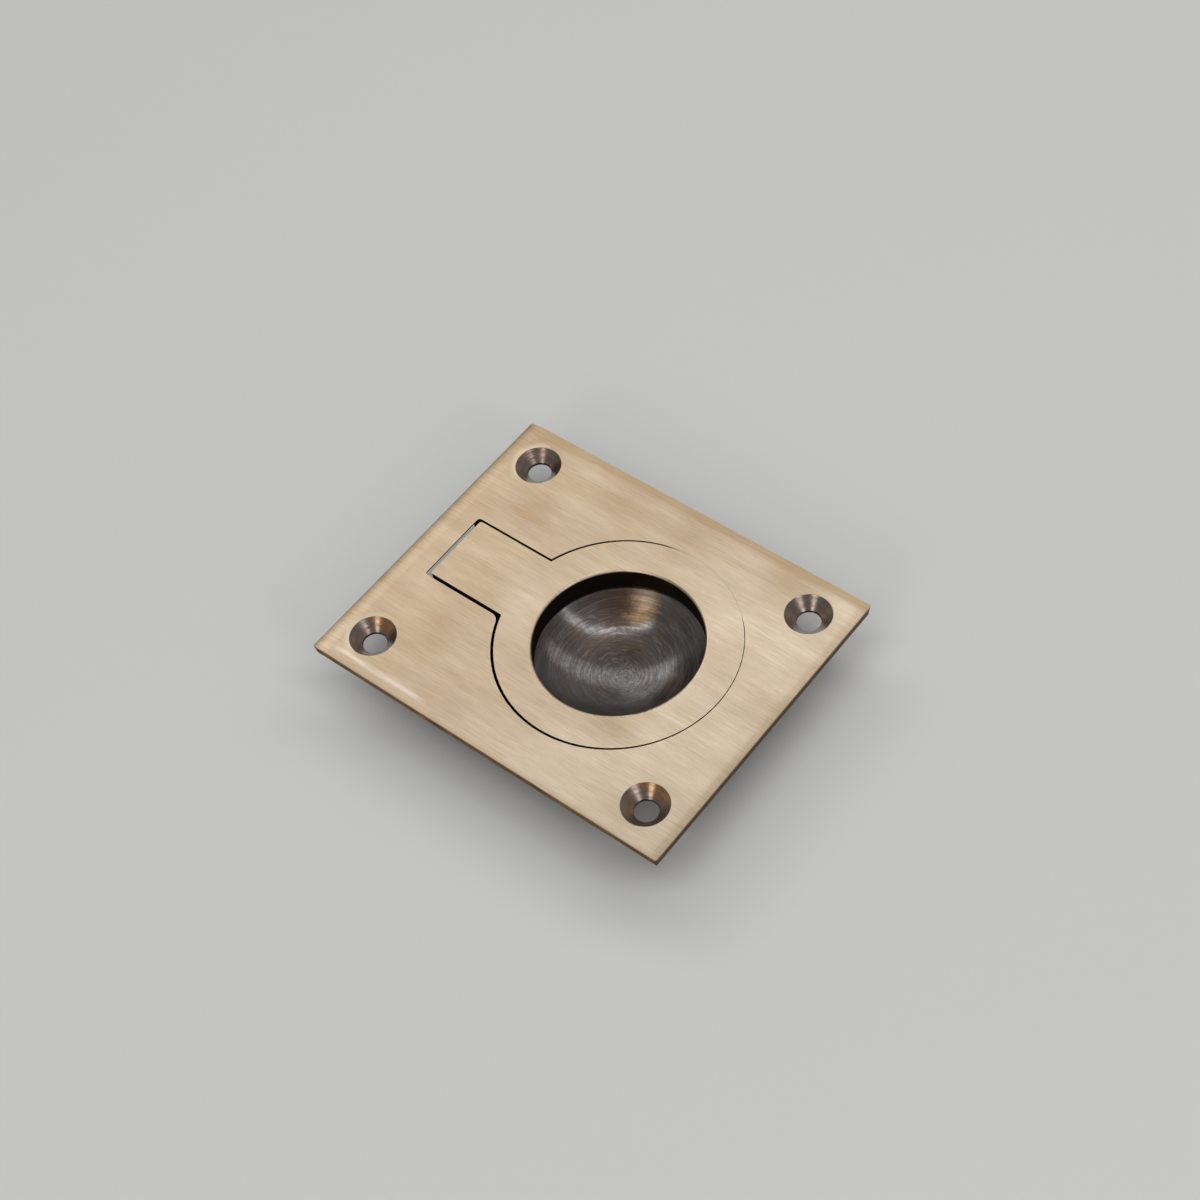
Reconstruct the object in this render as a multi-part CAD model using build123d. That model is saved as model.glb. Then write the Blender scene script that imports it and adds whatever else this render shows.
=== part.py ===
from build123d import *
import os
from math import acos, atan2, cos, degrees, hypot, radians, sin, sqrt, tan

# A recessed ring pull for a drawer, hatch or door: a cast brass plate with its recess and bowl in one
# piece, a flush ring on a tongue, and the pin that the tongue turns on.
# Sizes are millimetres. The origin is the middle of the screw holes on the plate's back, +Z comes out of
# the front, the hinge is at the -X end and the ring at the +X end. The pieces are drawn with the front
# face at z = 0, so that depths read as on a drawing, and are raised by the plate's thickness at the end.

# Plate
plate_length = 80.8
plate_width = 65.0
plate_thickness = 2.6
plate_corner = 0.6          # radius of the corners, seen from the front
side_draft = 10.0           # degrees that the sides lean in towards the back
front_arris = 0.12          # taken off the edge round the front face
hinge_end_roll = 3.5        # length over which polishing has rolled the front face off at the hinge end
hinge_end_drop = 0.5
ring_end_roll = 1.5
ring_end_drop = 0.1

# Screw holes, for countersunk screws of about 4 mm
screw_pitch_x = 64.0        # between centres, along the plate
screw_pitch_y = 49.0
screw_hole_radius = 2.3
countersink_radius = 4.5
countersink_angle = 90.0

# Pocket for the ring, bowl for the finger
pocket_radius = 23.4
pocket_margin = 10.4        # from the pocket's wall to the plate's ring end
pocket_wall = 2.0
pocket_floor = 2.0
floor_gap = 0.3             # under the ring
bowl_mouth_radius = 16.6
bowl_mouth_bevel = 0.4
bowl_depth = 6.2            # below the pocket's floor
bowl_wall = 2.0
foot_radius = 8.5           # flat spot on the back of the bowl
cup_draft = 3.0             # degrees
foot_round = 3.0
ledge_bevel = 0.9
neck_round = 1.5
root_blend = 0.8            # cast in where the cup leaves the plate's back

# Ring
ring_thickness = 5.0
ring_gap = 0.35             # all round, before the ring's own shift
ring_shift_x = 0.16         # the ring was fitted by hand, a touch towards the far corner
ring_shift_y = 0.13
ring_draft = 7.0            # degrees that the rim leans in underneath, to clear the pocket as it lifts
finger_hole_radius = 16.0
finger_edge = 0.5           # rounded in front, bevelled behind

# Tongue, its slot in the plate and the hinge
tongue_width = 14.8
tongue_side_gap = 0.6
tongue_corner = 0.5         # rounded, seen from the front
slot_margin = 7.05          # from the slot's end to the plate's hinge end
slot_end_gap = 0.8
slot_end_round = 0.65       # in the corners of the slot's end
slot_corner = 2.0           # worn corner where the slot's lower side runs into the pocket
tail_length = 4.0           # of the tongue, past the pin
tail_depth = 3.0
swing_gap = 0.35            # round the tail's corner as it swings under the plate
pin_radius = 1.1
pin_running_gap = 0.06
pin_end_chamfer = 0.2
pin_below_plate = 0.3       # lets the drill for the pin pass along the plate's back
knuckle_wall = 1.24
window_gap = 0.6
cheek_thickness = 2.5
cheek_nose = 1.9            # how far the cheeks run on past the slot's end
cheek_nose_round = 2.0
cheek_edge_bevel = 1.0

over = 1.0                  # how far cutting shapes run past what they cut

# Places that follow from the sizes above
floor_z = -(ring_thickness + floor_gap)
ledge_z = floor_z - pocket_floor
bowl_bottom_z = floor_z - bowl_depth
foot_z = bowl_bottom_z - bowl_wall
bowl_sphere_radius = (bowl_mouth_radius ** 2 + bowl_depth ** 2) / (2 * bowl_depth)

pocket_x = plate_length / 2 - pocket_margin - pocket_radius
ring_x = pocket_x + ring_shift_x
ring_y = ring_shift_y
ring_radius = pocket_radius - ring_gap

slot_end_x = -plate_length / 2 + slot_margin
slot_half_width = tongue_width / 2 + tongue_side_gap
tail_end_x = slot_end_x + slot_end_gap
hinge_x = tail_end_x + tail_length
hinge_z = -(plate_thickness + pin_below_plate + pin_radius)
knuckle_radius = pin_radius + pin_running_gap + knuckle_wall
window_end_x = hinge_x + knuckle_radius + window_gap
nose_x = slot_end_x - cheek_nose
cheek_outside = slot_half_width + cheek_thickness


def arc_drop(run, drop, start_x, towards):
    # An arc that leaves the flat front face at start_x and falls by drop over run, and where its
    # tangent runs on to.
    end = (start_x + towards * run, -drop)
    radius = (run ** 2 + drop ** 2) / (2 * drop)
    slope = run / (radius - drop)
    beyond = (end[0] + towards * over, end[1] - slope * over)
    arc = TangentArc((start_x, 0), end, tangent=(towards, 0))
    return arc, end, beyond


def front_profile():
    # The plate seen from its long side: flat on top, rolled off at both ends.
    left = -plate_length / 2 + hinge_end_roll
    right = plate_length / 2 - ring_end_roll
    left_arc, left_end, left_beyond = arc_drop(hinge_end_roll, hinge_end_drop, left, -1)
    right_arc, right_end, right_beyond = arc_drop(ring_end_roll, ring_end_drop, right, 1)
    low = -plate_thickness - over
    low_right = (right_beyond[0], low)
    low_left = (left_beyond[0], low)
    outline = Curve() + [
        left_arc,
        Line((left, 0), (right, 0)),
        right_arc,
        Polyline(right_end, right_beyond, low_right, low_left, left_beyond, left_end),
    ]
    return Plane.XZ * make_face(outline)


def plate_blank():
    outline = RectangleRounded(plate_length, plate_width, plate_corner)
    slab = extrude(outline, amount=plate_thickness, dir=(0, 0, -1), taper=side_draft)
    rolled = extrude(front_profile(), amount=plate_width, both=True)
    plate = slab & rolled
    return chamfer(plate.edges().filter_by(is_front_rim), front_arris)


def is_front_rim(edge):
    # True for the edges between the rolled front face and the sides, corners included.
    box = edge.bounding_box()
    lowest_rim = -max(hinge_end_drop, ring_end_drop) - front_arris
    middle = edge @ 0.5
    on_a_side = abs(middle.Y) > plate_width / 2 - plate_corner - front_arris
    on_an_end = abs(middle.X) > plate_length / 2 - plate_corner - front_arris
    return box.min.Z > lowest_rim and (on_a_side or on_an_end)


def cup_outside():
    # The back of the recess, turned about the ring's axis, with a flat foot in the middle.
    root_radius = pocket_radius + pocket_wall
    root_z = -plate_thickness / 2
    ledge_radius = root_radius - tan(radians(cup_draft)) * (-plate_thickness - root_blend - ledge_z)
    neck_radius = bowl_mouth_radius + bowl_wall
    outline = Polyline(
        (0, root_z),
        (root_radius + root_blend, root_z),
        (root_radius + root_blend, -plate_thickness),
        (root_radius, -plate_thickness - root_blend),
        (ledge_radius, ledge_z),
        (neck_radius, ledge_z),
        (foot_radius, foot_z),
        (0, foot_z),
        close=True,
    )
    cup = revolve(Plane.XZ * make_face(outline), axis=Axis.Z)
    cup = chamfer(ring_edges(cup, ledge_radius, ledge_z), ledge_bevel)
    cup = fillet(ring_edges(cup, neck_radius, ledge_z), neck_round)
    cup = fillet(ring_edges(cup, foot_radius, foot_z), foot_round)
    return Pos(pocket_x, 0, 0) * cup


def ring_edges(shape, radius, height):
    # The circular edges of that radius which lie at that height.
    tolerance = 0.01
    circles = shape.edges().filter_by(GeomType.CIRCLE)
    return circles.filter_by(
        lambda e: abs(e.radius - radius) < tolerance and abs(e.arc_center.Z - height) < tolerance
    )


def cheek_block():
    # The box behind the slot, which leaves a cheek on each side of the tongue to carry the pin.
    top = -plate_thickness / 2
    side = Polyline((nose_x, top), (pocket_x, top), (pocket_x, ledge_z), (nose_x, ledge_z), close=True)
    face = make_face(side)
    nose_corner = face.vertices().sort_by(Axis.Y)[:2].sort_by(Axis.X)[0]
    face = fillet(nose_corner, cheek_nose_round)
    block = extrude(Plane.XZ * face, amount=cheek_outside, both=True)
    upright = block.edges().filter_by(Axis.Z).group_by(Axis.X)[0]
    return chamfer(upright, cheek_edge_bevel)


def recess_outline():
    # Pocket and slot in plan, with the slot's end rounded and the one corner that is worn.
    slot_length = pocket_x - slot_end_x
    slot = Pos(slot_end_x + slot_length / 2, 0) * Rectangle(slot_length, 2 * slot_half_width)
    outline = Pos(pocket_x, 0) * Circle(pocket_radius) + slot
    outline = fillet(outline.vertices().sort_by(Axis.X)[:2], slot_end_round)
    corner_x = pocket_x - sqrt(pocket_radius ** 2 - slot_half_width ** 2)
    corner = outline.vertices().sort_by_distance((corner_x, -slot_half_width, 0))[0]
    return fillet(corner, slot_corner)


def screw_cutter():
    # Bore and countersink in one, which runs on above the front face as a wider cone.
    flare = tan(radians(countersink_angle / 2))
    cone_depth = (countersink_radius - screw_hole_radius) / flare
    bottom = -plate_thickness - over
    outline = Polyline(
        (0, over),
        (countersink_radius + flare * over, over),
        (screw_hole_radius, -cone_depth),
        (screw_hole_radius, bottom),
        (0, bottom),
        close=True,
    )
    return revolve(Plane.XZ * make_face(outline), axis=Axis.Z)


def swing_undercut():
    # The slot's end and its rounded corners are cut away underneath, the end at 45 degrees, so that the
    # tail's corner swings past them.
    tail_reach = hypot(tail_length, hinge_z) + swing_gap
    start_above_hinge = sqrt(2) * tail_reach - (tail_length + slot_end_gap)
    start_z = hinge_z + start_above_hinge
    low = ledge_z - over
    depth = start_z - low
    past_round = slot_end_x + slot_end_round
    wedge = make_face(
        Polyline(
            (past_round, start_z),
            (slot_end_x, start_z),
            (slot_end_x - depth, low),
            (past_round, low),
            close=True,
        )
    )
    return extrude(Plane.XZ * wedge, amount=slot_half_width, both=True)


def tongue_window():
    # The opening right through the back, in which the knuckle turns and the tail swings down.
    length = window_end_x - slot_end_x
    depth = floor_z - ledge_z + 2 * over
    middle = Pos(slot_end_x + length / 2, 0, floor_z + over - depth / 2)
    return middle * Box(length, 2 * slot_half_width, depth)


def pin_bore(radius):
    return Pos(hinge_x, 0, hinge_z) * Rot(90, 0, 0) * Cylinder(radius, 2 * (cheek_outside + over))


def recess_plate():
    body = plate_blank() + cup_outside() + cheek_block()
    body -= extrude(Pos(0, 0, floor_z) * recess_outline(), amount=-floor_z + over)
    body -= Pos(pocket_x, 0, bowl_bottom_z + bowl_sphere_radius) * Sphere(bowl_sphere_radius)
    body = chamfer(ring_edges(body, bowl_mouth_radius, floor_z), bowl_mouth_bevel)
    body -= tongue_window()
    body -= swing_undercut()
    body -= pin_bore(pin_radius)
    for place in GridLocations(screw_pitch_x, screw_pitch_y, 2, 2):
        body -= place * screw_cutter()
    return body


def tongue_profile():
    # The tongue seen from its side, with the knuckle round the pin.
    reach = hypot(tail_length, -hinge_z - tail_depth)
    tail_angle = degrees(atan2(-tail_depth - hinge_z, -tail_length))
    tangent_angle = radians(tail_angle + degrees(acos(knuckle_radius / reach)))
    tangent_x = hinge_x + knuckle_radius * cos(tangent_angle)
    tangent_z = hinge_z + knuckle_radius * sin(tangent_angle)
    outline = Polyline(
        (tail_end_x, 0),
        (tail_end_x, -tail_depth),
        (tangent_x, tangent_z),
        (hinge_x, -ring_thickness),
        (ring_x, -ring_thickness),
        (ring_x, 0),
        close=True,
    )
    return Plane.XZ * (make_face(outline) + Pos(hinge_x, hinge_z) * Circle(knuckle_radius))


def ring_handle():
    tongue = Pos(0, ring_y, 0) * extrude(tongue_profile(), amount=tongue_width / 2, both=True)
    tongue = fillet(tongue.edges().filter_by(Axis.Z).group_by(Axis.X)[0], tongue_corner)
    underside_radius = ring_radius - tan(radians(ring_draft)) * ring_thickness
    middle = Pos(ring_x, ring_y, -ring_thickness / 2)
    disc = middle * Cone(underside_radius, ring_radius, ring_thickness)
    hole = middle * Cylinder(finger_hole_radius, ring_thickness + 2 * over)
    ring = tongue + disc - hole - pin_bore(pin_radius + pin_running_gap)
    ring = fillet(ring_edges(ring, finger_hole_radius, 0), finger_edge)
    return chamfer(ring_edges(ring, finger_hole_radius, -ring_thickness), finger_edge)


def hinge_pin():
    pin = Cylinder(pin_radius, 2 * cheek_outside)
    pin = chamfer(pin.edges().filter_by(GeomType.CIRCLE), pin_end_chamfer)
    return Pos(hinge_x, 0, hinge_z) * Rot(90, 0, 0) * pin


os.makedirs("parts", exist_ok=True)
nodes = {
    "recess_plate": recess_plate(),
    "ring_handle": ring_handle(),
    "hinge_pin": hinge_pin(),
}
for name, drawn in nodes.items():
    piece = Pos(0, 0, plate_thickness) * drawn
    piece.label = name
    export_step(piece, f"parts/{name}.step")
    print(name, len(piece.solids()), round(piece.volume, 1), piece.bounding_box())
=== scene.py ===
from math import cos, pi, radians, sin

import bmesh
import bpy
from mathutils import Matrix, Vector


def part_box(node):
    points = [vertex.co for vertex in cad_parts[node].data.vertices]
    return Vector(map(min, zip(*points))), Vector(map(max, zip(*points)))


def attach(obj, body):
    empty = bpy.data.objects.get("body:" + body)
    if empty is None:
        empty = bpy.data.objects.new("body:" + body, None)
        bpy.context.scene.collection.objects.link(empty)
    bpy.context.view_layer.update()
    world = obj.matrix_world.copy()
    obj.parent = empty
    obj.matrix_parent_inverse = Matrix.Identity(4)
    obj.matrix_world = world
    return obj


# Flush ring pull in antique brass: the front is brushed bright along its length, and everything that the
# brush can't reach keeps its dark patina. The three CAD pieces keep their shape and get their finish here.

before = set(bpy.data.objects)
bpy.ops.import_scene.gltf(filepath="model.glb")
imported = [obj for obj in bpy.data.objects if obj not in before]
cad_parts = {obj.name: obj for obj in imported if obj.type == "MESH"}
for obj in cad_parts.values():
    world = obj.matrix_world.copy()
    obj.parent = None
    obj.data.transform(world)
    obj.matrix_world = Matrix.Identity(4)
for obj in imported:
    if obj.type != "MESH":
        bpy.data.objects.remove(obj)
bpy.context.view_layer.update()
print("frame loaded")

mm = 0.001
scene = bpy.context.scene
plateLow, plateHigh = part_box("recess_plate")
frontZ = plateHigh.z
tableZ = plateLow.z

# Places on the part that the finishes follow, in metres
layout = {
    "halfLength": (plateHigh.x - plateLow.x) / 2,
    "halfWidth": (plateHigh.y - plateLow.y) / 2,
    "screwX": 32 * mm,
    "screwY": 24.5 * mm,
    "countersinkRadius": 4.5 * mm,
    "screwHoleRadius": 2.3 * mm,
    "bowlX": 6.6 * mm,
    "pocketRadius": 23.4 * mm,
    "pocketDepth": 5.3 * mm,
}


# Node building

def addNode(tree, kind, **values):
    made = tree.nodes.new(kind)
    for name, value in values.items():
        setattr(made, name, value)
    return made


def feed(tree, socket, value):
    # a socket takes either another socket or a plain value
    if isinstance(value, bpy.types.NodeSocket):
        tree.links.new(value, socket)
    else:
        socket.default_value = value


def maths(tree, operation, a, b=0.0, clamp=False):
    made = addNode(tree, "ShaderNodeMath", operation=operation, use_clamp=clamp)
    feed(tree, made.inputs[0], a)
    feed(tree, made.inputs[1], b)
    return made.outputs[0]


def product(tree, first, *others):
    # every mask or amount times the next
    for other in others:
        first = maths(tree, "MULTIPLY", first, other)
    return first


def vectorMaths(tree, operation, a, b=(0.0, 0.0, 0.0)):
    made = addNode(tree, "ShaderNodeVectorMath", operation=operation)
    feed(tree, made.inputs[0], a)
    feed(tree, made.inputs[1], b)
    scalar = operation in ("LENGTH", "DISTANCE", "DOT_PRODUCT")
    return made.outputs["Value" if scalar else "Vector"]


def scaled(tree, vector, factors):
    return vectorMaths(tree, "MULTIPLY", vector, factors)


def flat(tree, vector):
    return scaled(tree, vector, (1, 1, 0))


def split(tree, vector):
    made = addNode(tree, "ShaderNodeSeparateXYZ")
    feed(tree, made.inputs[0], vector)
    return made.outputs


def combine(tree, x, y, z):
    made = addNode(tree, "ShaderNodeCombineXYZ")
    for socket, value in zip(made.inputs, (x, y, z)):
        feed(tree, socket, value)
    return made.outputs[0]


def between(tree, value, low, high, toLow=0.0, toHigh=1.0):
    # toLow below low, toHigh above high and a smooth step from one to the other
    made = addNode(tree, "ShaderNodeMapRange", interpolation_type="SMOOTHSTEP", clamp=True)
    for name, given in (("Value", value), ("From Min", low), ("From Max", high), ("To Min", toLow),
                        ("To Max", toHigh)):
        feed(tree, made.inputs[name], given)
    return made.outputs["Result"]


def noise(tree, vector, scale=1.0, detail=2.0, roughness=0.5, distortion=0.0):
    made = addNode(tree, "ShaderNodeTexNoise", noise_dimensions="3D")
    for name, given in (("Vector", vector), ("Scale", scale), ("Detail", detail), ("Roughness", roughness),
                        ("Distortion", distortion)):
        feed(tree, made.inputs[name], given)
    return made.outputs["Fac"]


def mixColour(tree, factor, a, b):
    made = addNode(tree, "ShaderNodeMix", data_type="RGBA", clamp_factor=True)
    feed(tree, made.inputs["Factor"], factor)
    for socket, value in zip((made.inputs[6], made.inputs[7]), (a, b)):
        feed(tree, socket, value if isinstance(value, bpy.types.NodeSocket) else (*value, 1.0))
    return made.outputs[2]


def mixValue(tree, factor, a, b):
    made = addNode(tree, "ShaderNodeMix", data_type="FLOAT", clamp_factor=True)
    feed(tree, made.inputs["Factor"], factor)
    feed(tree, made.inputs[2], a)
    feed(tree, made.inputs[3], b)
    return made.outputs[0]


def linear(red, green, blue):
    # a colour written as it looks on screen, 0 to 255, as the shader needs it
    return tuple((c / 255 / 12.92) if c / 255 <= 0.04045 else ((c / 255 + 0.055) / 1.055) ** 2.4
                 for c in (red, green, blue))


def newGroup(name, inputs, outputs):
    group = bpy.data.node_groups.new(name, "ShaderNodeTree")
    for title, kind, default in inputs:
        socket = group.interface.new_socket(title, in_out="INPUT", socket_type=kind)
        if default is not None:
            socket.default_value = default
    for title, kind in outputs:
        group.interface.new_socket(title, in_out="OUTPUT", socket_type=kind)
    start = group.nodes.new("NodeGroupInput")
    end = group.nodes.new("NodeGroupOutput")
    return group, start.outputs, end.inputs


def useGroup(tree, group, **values):
    made = addNode(tree, "ShaderNodeGroup", node_tree=group)
    for name, value in values.items():
        feed(tree, made.inputs[name], value)
    return made.outputs


# Effects that the finishes share

def makeBrushGroup():
    # long strokes along X, of two widths, that wander a little
    inputs = [
        ("Vector", "NodeSocketVector", None),
        ("StrokeLength", "NodeSocketFloat", 9 * mm),
        ("StrokeWidth", "NodeSocketFloat", 0.14 * mm),
    ]
    group, start, end = newGroup("brushMarks", inputs, [
        ("Fine", "NodeSocketFloat"), ("Medium", "NodeSocketFloat"), ("Height", "NodeSocketFloat"),
    ])
    wander = noise(group, scaled(group, start["Vector"], (60, 110, 60)), detail=1.0)
    drift = maths(group, "MULTIPLY", maths(group, "SUBTRACT", wander, 0.5), 0.9 * mm)
    axes = split(group, start["Vector"])
    across = maths(group, "ADD", axes[1], drift)
    along = maths(group, "DIVIDE", axes[0], start["StrokeLength"])
    layers = []
    for name, shareOfLength, timesWidth, seed in (("Fine", 1.0, 1.0, 0.0), ("Medium", 0.6, 2.2, 7.3)):
        crosswise = maths(group, "DIVIDE", across, maths(group, "MULTIPLY", start["StrokeWidth"], timesWidth))
        place = combine(group, maths(group, "MULTIPLY", along, shareOfLength), crosswise, seed)
        layers.append(noise(group, place, detail=3.0, roughness=0.65))
        group.links.new(between(group, layers[-1], 0.28, 0.72), end[name])
    height = maths(group, "ADD", maths(group, "MULTIPLY", layers[0], 0.5),
                   maths(group, "MULTIPLY", layers[1], 0.5))
    group.links.new(height, end["Height"])
    return group


def roundTheAxis(group, start, width):
    # a pattern's place on rings about an upright axis, stretched along each ring
    level = flat(group, start["Vector"])
    heading = split(group, vectorMaths(group, "NORMALIZE", level))
    reach = maths(group, "DIVIDE", 1.0, start["ArcLength"])
    rings = maths(group, "DIVIDE", vectorMaths(group, "LENGTH", level), start[width])
    return combine(
        group,
        maths(group, "ADD", rings, start["Seed"]),
        maths(group, "MULTIPLY", heading[0], reach),
        maths(group, "MULTIPLY", heading[1], reach),
    )


def makeTurnedGroup():
    # rings cut by a turning tool or an abrasive pad about an upright axis
    inputs = [
        ("Vector", "NodeSocketVector", None),
        ("RingWidth", "NodeSocketFloat", 0.2 * mm),
        ("ArcLength", "NodeSocketFloat", 1.0),
        ("Seed", "NodeSocketFloat", 0.0),
    ]
    group, start, end = newGroup("turnedMarks", inputs, [
        ("Rings", "NodeSocketFloat"), ("Height", "NodeSocketFloat"),
    ])
    place = roundTheAxis(group, start, "RingWidth")
    rings = noise(group, place, detail=3.0, roughness=0.65)
    group.links.new(between(group, rings, 0.3, 0.7), end["Rings"])
    group.links.new(rings, end["Height"])
    return group


def makeScratchGroup():
    # thin single scratches that run round a centre, each on its own slightly different circle
    inputs = [
        ("Vector", "NodeSocketVector", None),
        ("Spacing", "NodeSocketFloat", 0.9 * mm),
        ("ArcLength", "NodeSocketFloat", 0.5),
        ("Seed", "NodeSocketFloat", 0.0),
    ]
    group, start, end = newGroup("swirlScratches", inputs, [("Scratch", "NodeSocketFloat")])
    place = roundTheAxis(group, start, "Spacing")
    ridges = noise(group, place, detail=2.0, roughness=0.7)
    crest = maths(group, "ABSOLUTE", maths(group, "SUBTRACT", ridges, 0.5))
    line = between(group, crest, 0.0, 0.02, 1.0, 0.0)
    patches = between(group, noise(group, place, scale=0.23, detail=1.0), 0.45, 0.6)
    group.links.new(maths(group, "MULTIPLY", line, patches), end["Scratch"])
    return group


def makePatinaGroup():
    # the chemical darkening: cloudy, a little browner or greyer from place to place
    inputs = [
        ("Vector", "NodeSocketVector", None),
        ("Size", "NodeSocketFloat", 5 * mm),
        ("Base", "NodeSocketColor", (0.05, 0.04, 0.03, 1.0)),
        ("Warm", "NodeSocketColor", (0.10, 0.06, 0.03, 1.0)),
        ("Grey", "NodeSocketColor", (0.10, 0.10, 0.10, 1.0)),
    ]
    group, start, end = newGroup("patina", inputs, [("Color", "NodeSocketColor"), ("Cloud", "NodeSocketFloat")])
    place = vectorMaths(group, "DIVIDE", start["Vector"], combine(group, *(start["Size"],) * 3))
    cloud = noise(group, place, scale=1.0, detail=4.0, roughness=0.55, distortion=0.4)
    second = noise(group, vectorMaths(group, "ADD", place, (17.0, 5.0, 9.0)), scale=0.6, detail=3.0)
    warmed = mixColour(group, between(group, cloud, 0.42, 0.68), start["Base"], start["Warm"])
    greyed = mixColour(group, between(group, second, 0.45, 0.7, 0.0, 0.8), warmed, start["Grey"])
    group.links.new(greyed, end["Color"])
    group.links.new(cloud, end["Cloud"])
    return group


brushMarks = makeBrushGroup()
turnedMarks = makeTurnedGroup()
swirlScratches = makeScratchGroup()
patina = makePatinaGroup()
print("shared effects ready")


def clouded(tree, place, look, name, size):
    # the patina in the three colours that a finish keeps under one name
    return useGroup(tree, patina, Vector=place, Size=size, Base=(*look[name], 1),
                    Warm=(*look[name + "Warm"], 1), Grey=(*look[name + "Grey"], 1))


# Brushed brass front, the same on plate and ring so that the strokes run across both

brushedBrass = {
    "golden": linear(172, 144, 104),      # at the hinge end and along the rolled edges
    "paleSheen": linear(226, 208, 182),        # painted sheen of the lamps towards the ring end, with handling wear
    "pinkish": linear(184, 158, 136),     # thin patina left round the tongue and the ring
    "edgeBrass": linear(168, 138, 98),    # along the edges, strongest on the far one
    "strokeDark": linear(112, 86, 64),
    "strokeLight": linear(226, 212, 188),
    "darkShare": 0.52,                    # how strongly the strokes show
    "lightShare": 0.24,
    "strokeLength": 6 * mm,
    "strokeWidth": 0.15 * mm,
    "strokeDepth": 0.006 * mm,
    "sheenTrendReach": 42 * mm,                # from the middle to where the painted sheen's trend along the plate ends
    "sheenTrend": 0.36,                        # how much paler the plate is there: a painted sheen, stronger towards the ring end
    "middle": 0.56,                       # paleness in the middle, 0 golden and 1 pale
    "clouds": 0.07,                       # how far clouds and bands change the paleness
    "cloudScale": (70, 110, 70),
    "bands": 0.11,
    "bandScale": (30, 330, 30),
    "stains": 0.36,                       # how strong the thin patina gets
    "stainScale": (60, 85, 60),
    "bandWidth": 2.6 * mm,
    "bandShares": (0.8, 0.4, 0.35),       # of edgeBrass on the far edge, the ring end and the near edge
    "patches": (                          # x, y and reach in mm, and how much paler: painted sheen where paler and painted shade where darker, with some handling wear
        (-12, -4, 9, 0.40), (15, -28, 12, 0.50), (26, -19, 10, 0.22), (37, 31, 6, 0.30), (21, 14, 8, 0.22),
        (37, -29, 8, 0.22), (-34, -9, 8, 0.15), (25, 29, 10, -0.55), (18, -14, 8, -0.38), (4, 28, 11, -0.38),
        (-35, 30, 9, -0.30), (-12, 26, 10, -0.25), (40, 3, 9, -0.30), (-22, -17, 8, -0.25), (-26, 15, 8, -0.30),
    ),
    "roughness": (0.30, 0.38),            # between the broader strokes and on them
    "coat": 0.15,
}


def brushedFinish(tree, place):
    # colour, roughness and bump height of the brushed face
    look = brushedBrass
    marks = useGroup(tree, brushMarks, Vector=place, StrokeLength=look["strokeLength"],
                     StrokeWidth=look["strokeWidth"])
    axes = split(tree, place)
    # the plate grows paler towards the ring end: a painted sheen of the lamps
    sheenTrend = maths(tree, "MULTIPLY", maths(tree, "DIVIDE", axes[0], look["sheenTrendReach"]), look["sheenTrend"])
    cloud = noise(tree, scaled(tree, place, look["cloudScale"]), detail=2.0)
    band = noise(tree, scaled(tree, place, look["bandScale"]), detail=2.0)
    cloudShare = between(tree, cloud, 0.3, 0.7, -look["clouds"], look["clouds"])
    bandShare = between(tree, band, 0.3, 0.7, -look["bands"], look["bands"])
    sheenAndTone = maths(tree, "ADD", maths(tree, "ADD", sheenTrend, look["middle"]),
                     maths(tree, "ADD", cloudShare, bandShare), clamp=True)
    # patches of painted sheen and painted shade, with some handling wear
    for x, y, reach, paler in look["patches"]:
        apart = vectorMaths(tree, "DISTANCE", flat(tree, place), (x * mm, y * mm, 0))
        sheenAndTone = maths(tree, "ADD", sheenAndTone, between(tree, apart, 0.0, reach * mm, paler, 0.0), clamp=True)
    ground = mixColour(tree, sheenAndTone, look["golden"], look["paleSheen"])
    stainPlace = vectorMaths(tree, "ADD", scaled(tree, place, look["stainScale"]), (3.1, 7.7, 0.0))
    stain = noise(tree, stainPlace, detail=3.0)
    ground = mixColour(tree, between(tree, stain, 0.36, 0.68, 0.0, look["stains"]), ground, look["pinkish"])
    fromFarEdge = maths(tree, "SUBTRACT", layout["halfWidth"], axes[1])
    fromRingEnd = maths(tree, "SUBTRACT", layout["halfLength"], axes[0])
    fromNearEdge = maths(tree, "ADD", layout["halfWidth"], axes[1])
    width, (farShare, endShare, nearShare) = look["bandWidth"], look["bandShares"]
    farBand = between(tree, fromFarEdge, width * 0.45, width, farShare, 0.0)
    nearBand = maths(tree, "MAXIMUM", between(tree, fromRingEnd, 0.4 * mm, width, endShare, 0.0),
                     between(tree, fromNearEdge, 0.2 * mm, width * 0.5, nearShare, 0.0))
    ground = mixColour(tree, farBand, ground, look["edgeBrass"])
    ground = mixColour(tree, nearBand, ground, look["edgeBrass"])
    darkShare = mixValue(tree, sheenAndTone, look["darkShare"], look["darkShare"] * 0.65)
    dark = mixColour(tree, maths(tree, "MULTIPLY", marks["Fine"], darkShare), ground, look["strokeDark"])
    colour = mixColour(tree, maths(tree, "MULTIPLY", marks["Medium"], look["lightShare"]), dark,
                       look["strokeLight"])
    smooth, coarse = look["roughness"]
    rough = maths(tree, "ADD", smooth, maths(tree, "MULTIPLY", marks["Medium"], coarse - smooth))
    return colour, rough, marks["Height"]


metalLook = {"anisotropic": 0.6, "coatRoughness": 0.16, "coatIor": 1.8}


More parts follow.
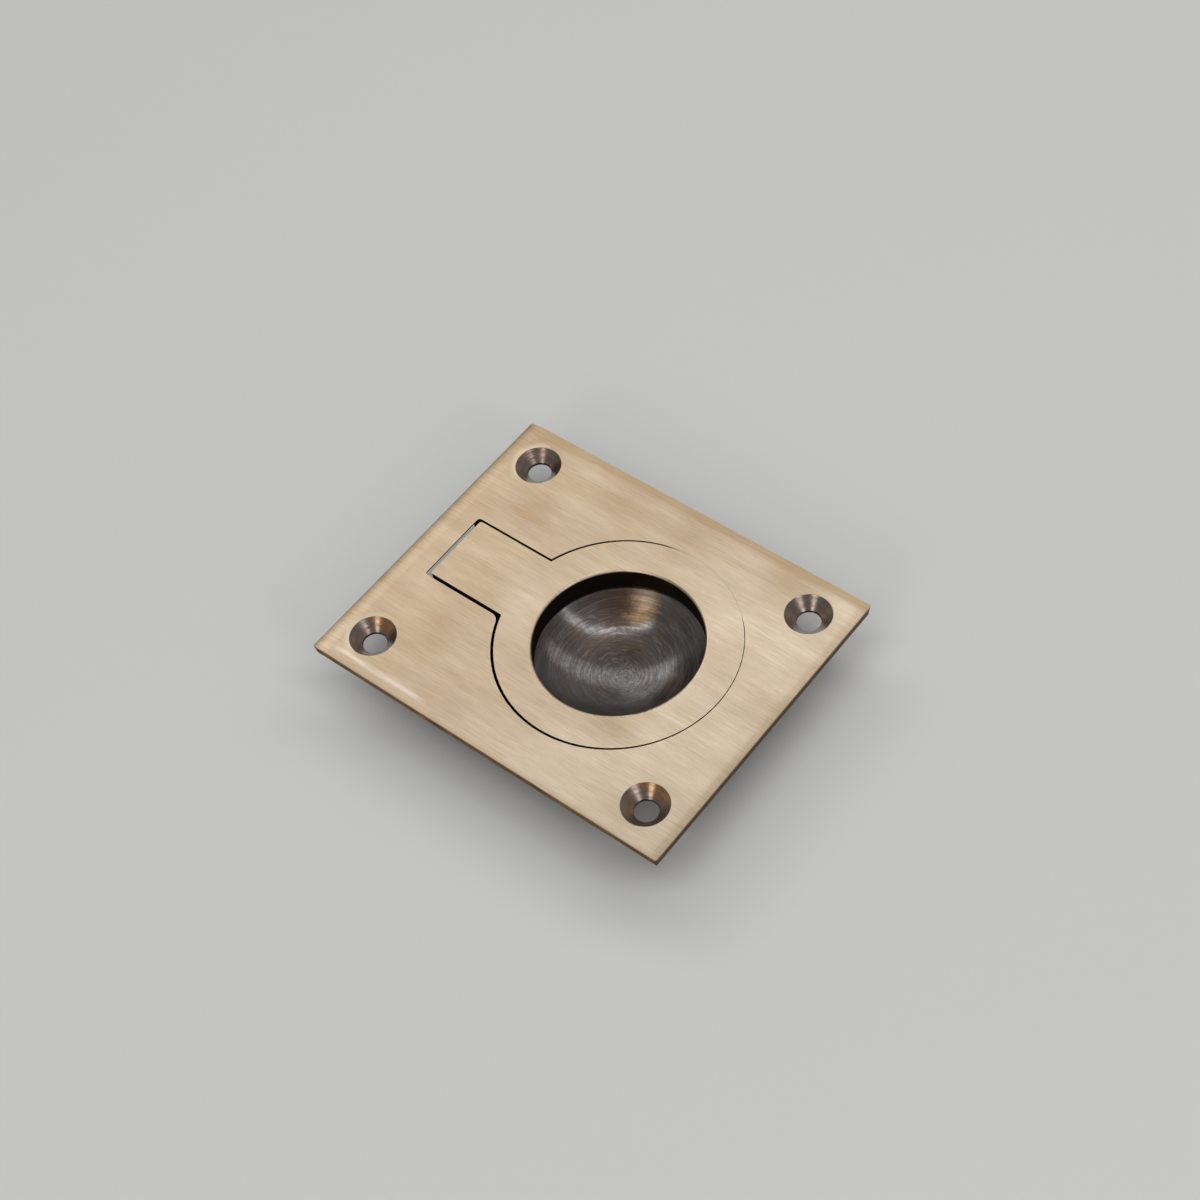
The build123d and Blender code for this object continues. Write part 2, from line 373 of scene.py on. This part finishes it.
def metalShader(tree, colour, rough, metallic, normal, tangent, coat):
    shader = addNode(tree, "ShaderNodeBsdfPrincipled")
    feed(tree, shader.inputs["Base Color"], colour)
    feed(tree, shader.inputs["Roughness"], rough)
    feed(tree, shader.inputs["Metallic"], metallic)
    feed(tree, shader.inputs["Normal"], normal)
    feed(tree, shader.inputs["Tangent"], tangent)
    feed(tree, shader.inputs["Coat Weight"], coat)
    shader.inputs["Anisotropic"].default_value = metalLook["anisotropic"]
    shader.inputs["Coat Roughness"].default_value = metalLook["coatRoughness"]
    shader.inputs["Coat IOR"].default_value = metalLook["coatIor"]
    output = addNode(tree, "ShaderNodeOutputMaterial")
    tree.links.new(shader.outputs["BSDF"], output.inputs["Surface"])


def newMaterial(name, viewColour):
    material = bpy.data.materials.new(name)
    material.use_nodes = True
    material.node_tree.nodes.clear()
    material.diffuse_color = (*viewColour, 1.0)
    return material, material.node_tree


def bumped(tree, height):
    # heights are in metres, so they are taken as they are
    made = addNode(tree, "ShaderNodeBump")
    made.inputs["Strength"].default_value = 1.0
    made.inputs["Distance"].default_value = 1.0
    feed(tree, made.inputs["Height"], height)
    return made.outputs["Normal"]


def worldDirection(tree, vector):
    made = addNode(tree, "ShaderNodeVectorTransform", vector_type="VECTOR", convert_from="OBJECT",
                   convert_to="WORLD")
    feed(tree, made.inputs[0], vector)
    return made.outputs[0]


def acrossStrokes(tree):
    return worldDirection(tree, combine(tree, 0.0, 1.0, 0.0))


# Recess plate

plateLook = {
    "side": linear(116, 86, 50),
    "sideWarm": linear(146, 108, 62),
    "sideGrey": linear(72, 56, 40),
    # painted shade on the side at the ring end
    "sideShade": linear(84, 62, 34),
    "hollowShade": linear(28, 21, 15),           # dark patina inside the pocket, the slot and the bores, darkened further as painted shade
    "hollowShadeWarm": linear(48, 35, 23),
    "hollowShadeGrey": linear(34, 30, 26),
    "bowl": linear(62, 51, 44),
    "bowlWarm": linear(78, 57, 43),
    "bowlGrey": linear(100, 95, 93),
    "browned": linear(70, 49, 32),        # beside the bright brass patch
    "bowlScratch": linear(150, 144, 140),
    "rubAndGlint": linear(206, 164, 108),      # bare brass where a fingertip hooks under the ring, brightened by a painted golden reflection of the front lamp
    "countersink": linear(122, 106, 97),
    "countersinkWarm": linear(142, 118, 100),
    "countersinkGrey": linear(110, 104, 101),
    "countersinkGlint": linear(160, 116, 72),
    "arris": linear(206, 180, 140),
    "shares": {                           # how strongly each lies over what is under it
        "worn": 0.75, "haloHighlight": 0.55, "rings": 0.25, "swirls": 0.45, "bottom": 0.75, "browned": 0.75,
        "coneRings": 0.35, "coneGlint": 0.85, "coneShade": 0.6, "ringEndShade": 0.8, "arris": 0.9,
    },
    "roughness": {"side": 0.58, "bowl": 0.36, "cone": 0.26},
    "metallic": {"dull": 0.9, "coated": 0.7},
    "coneCoat": (0.15, 0.6),
    "burnishedAt": 73,                    # degrees round the ring from the +X end
    "burnishedHalf": (20, 34),            # degrees each side of it: still bright, and no longer
    # a pale line by the near edge: wear with a painted shine on it
    "wornLine": (-38, -13, -30.3),        # from x to x at y, mm
    "wornWidth": 0.9 * mm,
    "wornPale": linear(224, 211, 198),
    "rubGlintPlace": (1.5 * mm, 13.3 * mm, 0),
    "rubGlintReach": 4.2 * mm,
    "warmPlace": (-1.6 * mm, 10.6 * mm, 0),
    "warmReach": 6.5 * mm,
    "swirlCentres": ((0.9, 0.5), (-1.1, 0.8), (0.4, -1.3), (1.8, -0.7)),     # mm from the bowl's axis
    "swirlSpacing": 0.5 * mm,
    "swirlDepth": 0.006 * mm,
    "ringDepth": 0.008 * mm,
    "bowlUneven": 0.06 * mm,
    "coneRingDepth": 0.08 * mm,
    "haloReach": 1.6 * mm,                # round the two holes at the hinge end
    "haloDepth": 0.12 * mm,
    # painted highlight on the dished rim round the two hinge-end holes
    "haloHighlightColour": linear(228, 212, 182),
}


def burnished(tree, bowlPlace):
    # the stretch of the ring's gap that brushing has closed up and kept bright: 1 in its middle
    heading = vectorMaths(tree, "NORMALIZE", flat(tree, bowlPlace))
    turn = radians(plateLook["burnishedAt"])
    bright, fades = plateLook["burnishedHalf"]
    nearness = vectorMaths(tree, "DOT_PRODUCT", heading, (cos(turn), sin(turn), 0.0))
    return between(tree, nearness, cos(radians(fades)), cos(radians(bright)))


def plateMaterial():
    look, share = plateLook, plateLook["shares"]
    material, tree = newMaterial("antiqueBrassPlate", look["side"])
    coords = addNode(tree, "ShaderNodeTexCoord")
    place = coords.outputs["Object"]
    facing = split(tree, coords.outputs["Normal"])[2]
    axes = split(tree, place)
    depth = maths(tree, "SUBTRACT", frontZ, axes[2])

    # how far from the nearest screw hole and from the bowl's axis
    folded = vectorMaths(tree, "ABSOLUTE", flat(tree, place))
    screwOffset = vectorMaths(tree, "SUBTRACT", folded, (layout["screwX"], layout["screwY"], 0))
    screwRadius = vectorMaths(tree, "LENGTH", screwOffset)
    bowlPlace = vectorMaths(tree, "SUBTRACT", place, (layout["bowlX"], 0, 0))
    bowlRadius = vectorMaths(tree, "LENGTH", flat(tree, bowlPlace))
    heading = split(tree, bowlPlace)

    # masks of the finished regions
    nearFront = between(tree, depth, 0.8 * mm, 1.0 * mm, 1.0, 0.0)
    onFront = maths(tree, "MULTIPLY", between(tree, facing, 0.84, 0.93), nearFront)
    onArris = maths(tree, "MULTIPLY", between(tree, facing, 0.45, 0.65), nearFront)
    upright = between(tree, facing, -0.2, -0.1)
    inScrew = product(tree, upright, between(
        tree, screwRadius, layout["countersinkRadius"] - 0.04 * mm,
        layout["countersinkRadius"] + 0.04 * mm, 1.0, 0.0))
    inBore = between(tree, screwRadius, layout["screwHoleRadius"] + 0.02 * mm,
                     layout["screwHoleRadius"] + 0.08 * mm, 1.0, 0.0)
    inBowl = product(tree, between(tree, bowlRadius, 17.0 * mm, 17.3 * mm, 1.0, 0.0),
                     between(tree, depth, layout["pocketDepth"] - 0.1 * mm, layout["pocketDepth"]), upright)
    # the pocket and the slot: inside the plate's outline, below its face and above its back
    corner = (layout["halfLength"], layout["halfWidth"], 0)
    fromSides = split(tree, vectorMaths(tree, "SUBTRACT", corner, folded))
    inside = between(tree, maths(tree, "MINIMUM", fromSides[0], fromSides[1]), 4 * mm, 4.5 * mm)
    belowFace = between(tree, depth, 0.15 * mm, 0.4 * mm)
    # the pocket and slot walls take dark patina with painted shade
    inShadedHollow = product(tree, inside, belowFace, upright)
    atGap = product(tree, burnished(tree, bowlPlace), between(tree, bowlRadius, 22 * mm, 22.8 * mm),
                    between(tree, depth, 1.2 * mm, 1.8 * mm, 1.0, 0.0),
                    between(tree, bowlRadius, 23.8 * mm, 24.2 * mm, 1.0, 0.0))
    inShadedHollow = product(tree, inShadedHollow, maths(tree, "SUBTRACT", 1.0, atGap))

    # the front, with its pale line of wear and painted shine, and the painted highlight of a pale halo on the
    # outer side of the two hinge-end holes
    brass, brassRough, brassHeight = brushedFinish(tree, place)
    lineStart, lineEnd, lineSide = (value * mm for value in look["wornLine"])
    fromLine = maths(tree, "ABSOLUTE", maths(tree, "SUBTRACT", axes[1], lineSide))
    wander = noise(tree, scaled(tree, place, (160, 700, 160)), detail=1.0)
    alongLine = product(tree, between(tree, axes[0], lineStart, lineStart + 5 * mm),
                        between(tree, axes[0], lineEnd - 6 * mm, lineEnd, 1.0, 0.0))
    worn = product(tree, between(tree, fromLine, 0.05 * mm, look["wornWidth"], share["worn"], 0.0), alongLine,
                   between(tree, wander, 0.3, 0.6, 0.3, 0.85))
    brass = mixColour(tree, worn, brass, look["wornPale"])
    atHinge = between(tree, axes[0], -20 * mm, -10 * mm, 1.0, 0.0)
    outward = split(tree, vectorMaths(tree, "NORMALIZE", screwOffset))[0]
    hingeSide = product(tree, atHinge, between(tree, outward, -0.1, 0.7))
    haloEnd = layout["countersinkRadius"] + look["haloReach"]
    # painted highlight: a pale halo on the outer side of the hinge-end holes
    haloHighlight = between(tree, screwRadius, layout["countersinkRadius"], haloEnd, share["haloHighlight"], 0.0)
    brass = mixColour(tree, product(tree, haloHighlight, hingeSide), brass, look["haloHighlightColour"])

    side = clouded(tree, place, look, "side", 4 * mm)
    bowl = clouded(tree, place, look, "bowl", 6 * mm)
    cone = clouded(tree, place, look, "countersink", 2.5 * mm)
    hollowShade = clouded(tree, place, look, "hollowShade", 3 * mm)

    # turned rings and swirls in the bowl
    rings = useGroup(tree, turnedMarks, Vector=bowlPlace, RingWidth=0.3 * mm, ArcLength=0.8, Seed=3.0)
    swirls = None
    for index, (x, y) in enumerate(look["swirlCentres"]):
        moved = vectorMaths(tree, "ADD", bowlPlace, (x * mm, y * mm, 0))
        one = useGroup(tree, swirlScratches, Vector=moved, Spacing=look["swirlSpacing"], ArcLength=1.6,
                       Seed=11.0 * index)["Scratch"]
        swirls = one if swirls is None else maths(tree, "MAXIMUM", swirls, one)
    coneRings = useGroup(tree, turnedMarks, Vector=screwOffset, RingWidth=0.5 * mm, ArcLength=2.5, Seed=40.0)

    bowlColour = mixColour(tree, maths(tree, "MULTIPLY", rings["Rings"], share["rings"]), bowl["Color"],
                           look["bowlGrey"])
    bowlColour = mixColour(tree, maths(tree, "MULTIPLY", swirls, share["swirls"]), bowlColour,
                           look["bowlScratch"])
    # greyer and lighter towards the lower side of the bowl: a painted reflection of the lamps
    lowerReflectionMask = between(tree, maths(tree, "ADD", heading[1], maths(tree, "MULTIPLY", heading[0], -0.25)),
                       -9 * mm, -2 * mm, share["bottom"], 0.0)
    bowlColour = mixColour(tree, lowerReflectionMask, bowlColour, look["bowlGrey"])
    # a bright brass patch near the bowl's far rim: rubbed brass with a painted golden reflection
    fromRubGlint = vectorMaths(tree, "DISTANCE", flat(tree, place), look["rubGlintPlace"])
    fromWarm = vectorMaths(tree, "DISTANCE", flat(tree, place), look["warmPlace"])
    warmShare = between(tree, fromWarm, 1.0 * mm, look["warmReach"], share["browned"], 0.0)
    bowlColour = mixColour(tree, warmShare, bowlColour, look["browned"])
    ragged = noise(tree, scaled(tree, place, (1400, 1400, 1400)), detail=4.0, roughness=0.65)
    rubGlintEdge = maths(tree, "ADD", fromRubGlint, between(tree, bowl["Cloud"], 0.3, 0.7, -1.2 * mm, 1.2 * mm))
    rubGlintEdge = maths(tree, "ADD", rubGlintEdge, between(tree, ragged, 0.25, 0.75, -0.6 * mm, 0.6 * mm))
    rubAndGlint = between(tree, rubGlintEdge, -0.6 * mm, look["rubGlintReach"], 1.0, 0.0)
    streaked = maths(tree, "MULTIPLY", rubAndGlint, between(tree, rings["Rings"], 0.2, 0.8, 0.5, 1.0))
    bowlColour = mixColour(tree, streaked, bowlColour, look["rubAndGlint"])

    # countersinks: a painted gold glint on the far wall of the two near holes, and painted shade beside the
    # hinge-end screws
    nearSide = between(tree, axes[1], -5 * mm, 5 * mm, 1.0, 0.0)
    golden = product(tree, nearSide, between(
        tree, split(tree, screwOffset)[1], -3.6 * mm, -1.8 * mm, share["coneGlint"], 0.0))
    shaded = product(tree, atHinge, between(
        tree, maths(tree, "ADD", axes[0], layout["screwX"]), 0.5 * mm, 2.5 * mm, 0.0, share["coneShade"]))
    coneColour = mixColour(tree, product(tree, coneRings["Rings"], share["coneRings"]), cone["Color"],
                           look["countersinkWarm"])
    coneColour = mixColour(tree, golden, coneColour, look["countersinkGlint"])
    coneColour = mixColour(tree, shaded, coneColour, look["hollowShade"])
    coneColour = mixColour(tree, inBore, coneColour, look["hollowShade"])

    # the side at the ring end is darker: painted shade
    ringEndShade = between(tree, axes[0], layout["halfLength"] - 1.2 * mm, layout["halfLength"] - 0.6 * mm)
    sideColour = mixColour(tree, maths(tree, "MULTIPLY", ringEndShade, share["ringEndShade"]), side["Color"],
                           look["sideShade"])
    sideColour = mixColour(tree, maths(tree, "MULTIPLY", inside, atGap), sideColour, brass)
    dark = mixColour(tree, inShadedHollow, sideColour, hollowShade["Color"])
    dark = mixColour(tree, inBowl, dark, bowlColour)
    edged = mixColour(tree, maths(tree, "MULTIPLY", onArris, share["arris"]), dark, look["arris"])
    bright = mixColour(tree, onFront, edged, brass)
    colour = mixColour(tree, inScrew, bright, coneColour)

    bowlRough = maths(tree, "ADD", look["roughness"]["bowl"], maths(tree, "MULTIPLY", rings["Rings"], 0.1))
    darkRough = mixValue(tree, inBowl, look["roughness"]["side"], bowlRough)
    aboveCones = mixValue(tree, onFront, darkRough, brassRough)
    rough = mixValue(tree, inScrew, aboveCones, look["roughness"]["cone"])
    coated = maths(tree, "MAXIMUM", inBowl, inScrew)
    bare = maths(tree, "MAXIMUM", onFront, onArris)
    metallic = mixValue(tree, coated, mixValue(tree, bare, look["metallic"]["dull"], 1.0),
                        look["metallic"]["coated"])
    broken = maths(tree, "MULTIPLY", between(tree, rings["Rings"], 0.2, 0.8, 0.5, 1.0),
                   between(tree, ragged, 0.35, 0.65, 0.55, 1.0))
    broken = maths(tree, "SUBTRACT", broken, maths(tree, "MULTIPLY", warmShare, 0.6), clamp=True)
    brokenCone = between(tree, coneRings["Rings"], 0.1, 0.9, *look["coneCoat"])
    varied = mixValue(tree, inScrew, broken, brokenCone)
    coat = mixValue(tree, coated, maths(tree, "MULTIPLY", bare, brushedBrass["coat"]), varied)
    dull = maths(tree, "MULTIPLY", inShadedHollow, maths(tree, "SUBTRACT", 1.0, coated))
    coat = mixValue(tree, maths(tree, "MAXIMUM", dull, inBore), coat, 0.0)

    # bump: strokes in front, rings below, and the rim that buffing has sunk round the two hinge-end holes
    frontHeight = product(tree, brassHeight, product(tree, onFront, brushedBrass["strokeDepth"]))
    uneven = noise(tree, scaled(tree, place, (220, 220, 220)), detail=1.0)
    bowlRelief = maths(tree, "ADD", maths(tree, "MULTIPLY", rings["Height"], look["ringDepth"]),
                       maths(tree, "MULTIPLY", uneven, look["bowlUneven"]))
    bowlRelief = maths(tree, "SUBTRACT", bowlRelief, maths(tree, "MULTIPLY", swirls, look["swirlDepth"]))
    bowlHeight = maths(tree, "MULTIPLY", bowlRelief, inBowl)
    coneHeight = product(tree, coneRings["Height"], product(tree, inScrew, look["coneRingDepth"]))
    dish = between(tree, screwRadius, layout["countersinkRadius"] - 1.3 * mm, haloEnd)
    haloHeight = product(tree, maths(tree, "SUBTRACT", dish, 1.0), product(tree, hingeSide, look["haloDepth"]))
    height = maths(tree, "ADD", maths(tree, "ADD", frontHeight, bowlHeight),
                   maths(tree, "ADD", coneHeight, maths(tree, "MULTIPLY", haloHeight, onFront)))
    normal = bumped(tree, height)

    # the metal shines farthest across the strokes in front, and round the axis in the bowl
    aroundAxis = vectorMaths(tree, "NORMALIZE",
                             combine(tree, maths(tree, "MULTIPLY", heading[1], -1.0), heading[0], 0.0))
    tangent = addNode(tree, "ShaderNodeMix", data_type="VECTOR", clamp_factor=True)
    feed(tree, tangent.inputs["Factor"], inBowl)
    feed(tree, tangent.inputs[4], (0.0, 1.0, 0.0))
    feed(tree, tangent.inputs[5], aroundAxis)
    metalShader(tree, colour, rough, metallic, normal, worldDirection(tree, tangent.outputs[1]), coat)
    return material


# Ring handle

ringLook = {
    # dark patina on the ring's walls, with painted shade where they sit down in the pocket
    "edge": linear(34, 26, 19),
    "edgeWarm": linear(52, 38, 25),
    "edgeGrey": linear(32, 28, 24),
    "edgeRoughness": 0.62,
    "edgeMetallic": 0.75,
}


def ringMaterial():
    look = ringLook
    material, tree = newMaterial("antiqueBrassRing", brushedBrass["golden"])
    coords = addNode(tree, "ShaderNodeTexCoord")
    place = coords.outputs["Object"]
    facing = split(tree, coords.outputs["Normal"])[2]
    axes = split(tree, place)
    depth = maths(tree, "SUBTRACT", frontZ, axes[2])
    nearFront = between(tree, depth, 0.7 * mm, 0.9 * mm, 1.0, 0.0)
    onFront = maths(tree, "MULTIPLY", between(tree, facing, 0.25, 0.85), nearFront)
    brass, brassRough, brassHeight = brushedFinish(tree, place)
    edge = clouded(tree, place, look, "edge", 4 * mm)
    bowlPlace = vectorMaths(tree, "SUBTRACT", place, (layout["bowlX"], 0, 0))
    rim = product(tree, between(tree, vectorMaths(tree, "LENGTH", flat(tree, bowlPlace)), 20 * mm, 21 * mm),
                  between(tree, depth, 0.3 * mm, 0.9 * mm, 1.0, 0.0), burnished(tree, bowlPlace))
    edgeColour = mixColour(tree, rim, edge["Color"], brass)
    colour = mixColour(tree, onFront, edgeColour, brass)
    rough = mixValue(tree, onFront, look["edgeRoughness"], brassRough)
    strokes = product(tree, brassHeight, product(tree, onFront, brushedBrass["strokeDepth"]))
    normal = bumped(tree, strokes)
    metallic = mixValue(tree, onFront, look["edgeMetallic"], 1.0)
    coat = maths(tree, "MULTIPLY", onFront, brushedBrass["coat"])
    metalShader(tree, colour, rough, metallic, normal, acrossStrokes(tree), coat)
    return material


# Hinge pin

pinLook = {
    "pin": linear(150, 122, 84),
    "pinWarm": linear(170, 136, 90),
    "pinGrey": linear(110, 96, 78),
    "lineScale": (9000, 300, 9000),        # the drawing lines run along Y
    "lineDepth": 0.01 * mm,
    "roughness": (0.32, 0.5),
    "coat": 0.1,
}


def pinMaterial():
    look = pinLook
    material, tree = newMaterial("drawnBrassPin", look["pin"])
    place = addNode(tree, "ShaderNodeTexCoord").outputs["Object"]
    drawn = clouded(tree, place, look, "pin", 2 * mm)
    lines = noise(tree, scaled(tree, place, look["lineScale"]), detail=2.0)
    rough = between(tree, lines, 0.3, 0.7, *look["roughness"])
    normal = bumped(tree, maths(tree, "MULTIPLY", lines, look["lineDepth"]))
    metalShader(tree, drawn["Color"], rough, 1.0, normal, acrossStrokes(tree), look["coat"])
    return material


def dress(nodeName, material):
    # the CAD node keeps its mesh and takes the new material in its own slot
    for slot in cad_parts[nodeName].material_slots:
        slot.material = material


dress("recess_plate", plateMaterial())
dress("ring_handle", ringMaterial())
dress("hinge_pin", pinMaterial())
print("finishes on")


# Burr: where brushing has smeared the plate's brass over the ring's gap, so that the gap fades out there

pocketBurr = {
    "from": 38,                    # degrees round the pocket from the +X end
    "to": 108,
    "taper": 14,                   # degrees over which it thins out at each end
    "clearance": 0.02 * mm,        # left open beside the ring
    "overlap": 0.02 * mm,          # into the pocket's wall
    "ringAway": (0.16 * mm, 0.13 * mm),      # the ring's centre from the pocket's
    "ringRadius": 23.05 * mm,
    "thinnest": 0.04,              # share of its breadth left at its ends
    "sunk": 0.02 * mm,             # under the front face
    "thickness": 0.2 * mm,
    "steps": 56,
}


def makeBurr(material):
    look = pocketBurr
    ringAway = Vector(look["ringAway"])
    rows = []
    for index in range(look["steps"] + 1):
        turn = look["from"] + (look["to"] - look["from"]) * index / look["steps"]
        outward = Vector((cos(radians(turn)), sin(radians(turn))))
        along = ringAway.dot(outward)
        ringEdge = along + (look["ringRadius"] ** 2 - ringAway.length_squared + along ** 2) ** 0.5
        share = min(1.0, (turn - look["from"]) / look["taper"], (look["to"] - turn) / look["taper"])
        share = max(look["thinnest"], share * share * (3 - 2 * share))
        outer = layout["pocketRadius"] + look["overlap"]
        inner = outer - share * (outer - ringEdge - look["clearance"])
        top = frontZ - look["sunk"]
        rows.append([(layout["bowlX"] + outward.x * radius, outward.y * radius, height)
                     for radius, height in ((inner, top), (outer, top), (outer, top - look["thickness"]),
                                            (inner, top - look["thickness"]))])
    faces = [(0, 1, 2, 3), tuple(4 * look["steps"] + k for k in (3, 2, 1, 0))]
    for index in range(look["steps"]):
        for k in range(4):
            a, b = 4 * index + k, 4 * index + (k + 1) % 4
            faces.append((b, a, a + 4, b + 4))
    mesh = bpy.data.meshes.new("pocketBurr")
    mesh.from_pydata([point for row in rows for point in row], [], faces)
    shape = bmesh.new()
    shape.from_mesh(mesh)
    bmesh.ops.recalc_face_normals(shape, faces=shape.faces)
    shape.to_mesh(mesh)
    shape.free()
    mesh.materials.append(material)
    burr = bpy.data.objects.new("pocketBurr", mesh)
    scene.collection.objects.link(burr)
    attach(burr, "recess")


makeBurr(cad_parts["recess_plate"].material_slots[0].material)
print("burr made")


# Floor

floorLook = {
    "reach": 4.0,                         # a round floor that turns up at its edge, in metres
    "turnUp": 0.9,                        # height of its edge
    "sides": 96,
    "colour": linear(214, 214, 212),
    "roughness": 0.85,
    "far": linear(192, 192, 190),         # how the table looks where the lamps no longer reach
    "farFrom": 0.14,                      # from the part, where that begins and where it is all
    "farTo": 0.6,
}


def makeFloor():
    mesh = bpy.data.meshes.new("tableTop")
    reach, sides = floorLook["reach"], floorLook["sides"]
    turns = [2 * pi * index / sides for index in range(sides)]
    corners = [(reach * cos(turn), reach * sin(turn), tableZ + height)
               for height in (0.0, floorLook["turnUp"]) for turn in turns]
    wall = [(i, i + sides, (i + 1) % sides + sides, (i + 1) % sides) for i in range(sides)]
    mesh.from_pydata(corners, [], [tuple(range(sides))] + wall)
    floor = bpy.data.objects.new("tableTop", mesh)
    scene.collection.objects.link(floor)
    material, tree = newMaterial("paleTable", floorLook["colour"])
    shader = addNode(tree, "ShaderNodeBsdfPrincipled")
    output = addNode(tree, "ShaderNodeOutputMaterial")
    place = addNode(tree, "ShaderNodeTexCoord").outputs["Object"]
    far = between(tree, vectorMaths(tree, "LENGTH", place), floorLook["farFrom"], floorLook["farTo"])
    path = addNode(tree, "ShaderNodeLightPath")
    seen = maths(tree, "MAXIMUM", path.outputs["Is Camera Ray"], path.outputs["Is Glossy Ray"])
    seen = maths(tree, "MAXIMUM", seen, path.outputs["Is Transmission Ray"])
    plain = addNode(tree, "ShaderNodeEmission")
    plain.inputs["Color"].default_value = (*floorLook["far"], 1.0)
    plain.inputs["Strength"].default_value = 1.0
    either = addNode(tree, "ShaderNodeMixShader")
    feed(tree, either.inputs[0], maths(tree, "MULTIPLY", far, seen))
    tree.links.new(shader.outputs["BSDF"], either.inputs[1])
    tree.links.new(plain.outputs["Emission"], either.inputs[2])
    tree.links.new(either.outputs["Shader"], output.inputs["Surface"])
    shader.inputs["Base Color"].default_value = (*floorLook["colour"], 1.0)
    shader.inputs["Roughness"].default_value = floorLook["roughness"]
    mesh.materials.append(material)


makeFloor()


# Light: two tubes in one line and a panel on the ceiling, which the bowl mirrors as two arcs, the glow of a
# wall and three small lamps

lampSettings = {   # place over the front face in metres, azimuth of the long side, size in metres, radiance
    "nearTube": {"place": (0.03, -0.14, 0.90), "along": 38.5, "size": (0.84, 0.08), "glow": 8.2},
    "farTube": {"place": (0.655, 0.20, 0.90), "along": 13.8, "size": (0.60, 0.11), "glow": 5.5},
    "ceilingPanel": {"place": (-0.39, 0.70, 1.08), "along": 28, "size": (2.8, 0.50), "glow": 1.75},
    "wallGlow": {"place": (-1.05, 0.50, 0.90), "size": (0.9, 0.5), "glow": 0.85},
    "rightLamp": {"place": (0.84, -0.21, 0.50), "size": (0.3, 0.3), "glow": 4.0},
    "leftLamp": {"place": (0.15, -0.85, 0.50), "size": (0.3, 0.3), "glow": 4.0},
    "frontLamp": {"place": (-0.02, -0.60, 0.80), "size": (0.26, 0.26), "glow": 2.5},
}
worldLook = {"colour": (0.80, 0.81, 0.82), "strength": 0.28}


def aimedAt(place, target, roll=0.0):
    turn = (target - place).to_track_quat("-Z", "Y")
    return Matrix.Translation(place) @ turn.to_matrix().to_4x4() @ Matrix.Rotation(roll, 4, "Z")


def makeLamps():
    target = Vector((0, 0, frontZ))
    for name, values in lampSettings.items():
        lamp = bpy.data.lights.new(name, "AREA")
        lamp.shape = "RECTANGLE"
        lamp.size, lamp.size_y = values["size"]
        lamp.energy = values["glow"] * pi * values["size"][0] * values["size"][1]
        lampObject = bpy.data.objects.new(name, lamp)
        place = target + Vector(values["place"])
        if "along" in values:
            turned = Matrix.Rotation(radians(values["along"]), 4, "Z")
            lampObject.matrix_world = Matrix.Translation(place) @ turned
        else:
            lampObject.matrix_world = aimedAt(place, target)
        scene.collection.objects.link(lampObject)


def makeWorld():
    world = bpy.data.worlds.new("studio")
    world.use_nodes = True
    background = world.node_tree.nodes["Background"]
    background.inputs["Color"].default_value = (*worldLook["colour"], 1.0)
    background.inputs["Strength"].default_value = worldLook["strength"]
    scene.world = world


makeLamps()
makeWorld()


# Camera: azimuth, elevation and roll of the photograph's view

cameraLook = {
    "lens": 68.5,
    "sensor": 36.0,
    "place": (181.3 * mm, -169.6 * mm, frontZ + 338.7 * mm),
    "azimuth": 46.26,
    "elevation": 53.19,
    "roll": 10.0,
}


def makeCamera():
    turn, rise = radians(cameraLook["azimuth"]), radians(cameraLook["elevation"])
    back = Vector((sin(turn) * cos(rise), -cos(turn) * cos(rise), sin(rise)))
    camera = bpy.data.cameras.new("photoView")
    camera.lens = cameraLook["lens"]
    camera.sensor_width = cameraLook["sensor"]
    camera.sensor_fit = "HORIZONTAL"
    camera.clip_start = 0.01
    cameraObject = bpy.data.objects.new("photoView", camera)
    place = Vector(cameraLook["place"])
    cameraObject.matrix_world = aimedAt(place, place - back, -radians(cameraLook["roll"]))
    scene.collection.objects.link(cameraObject)
    scene.camera = cameraObject


makeCamera()
scene.view_settings.view_transform = "Standard"
print("stage, light and camera set")
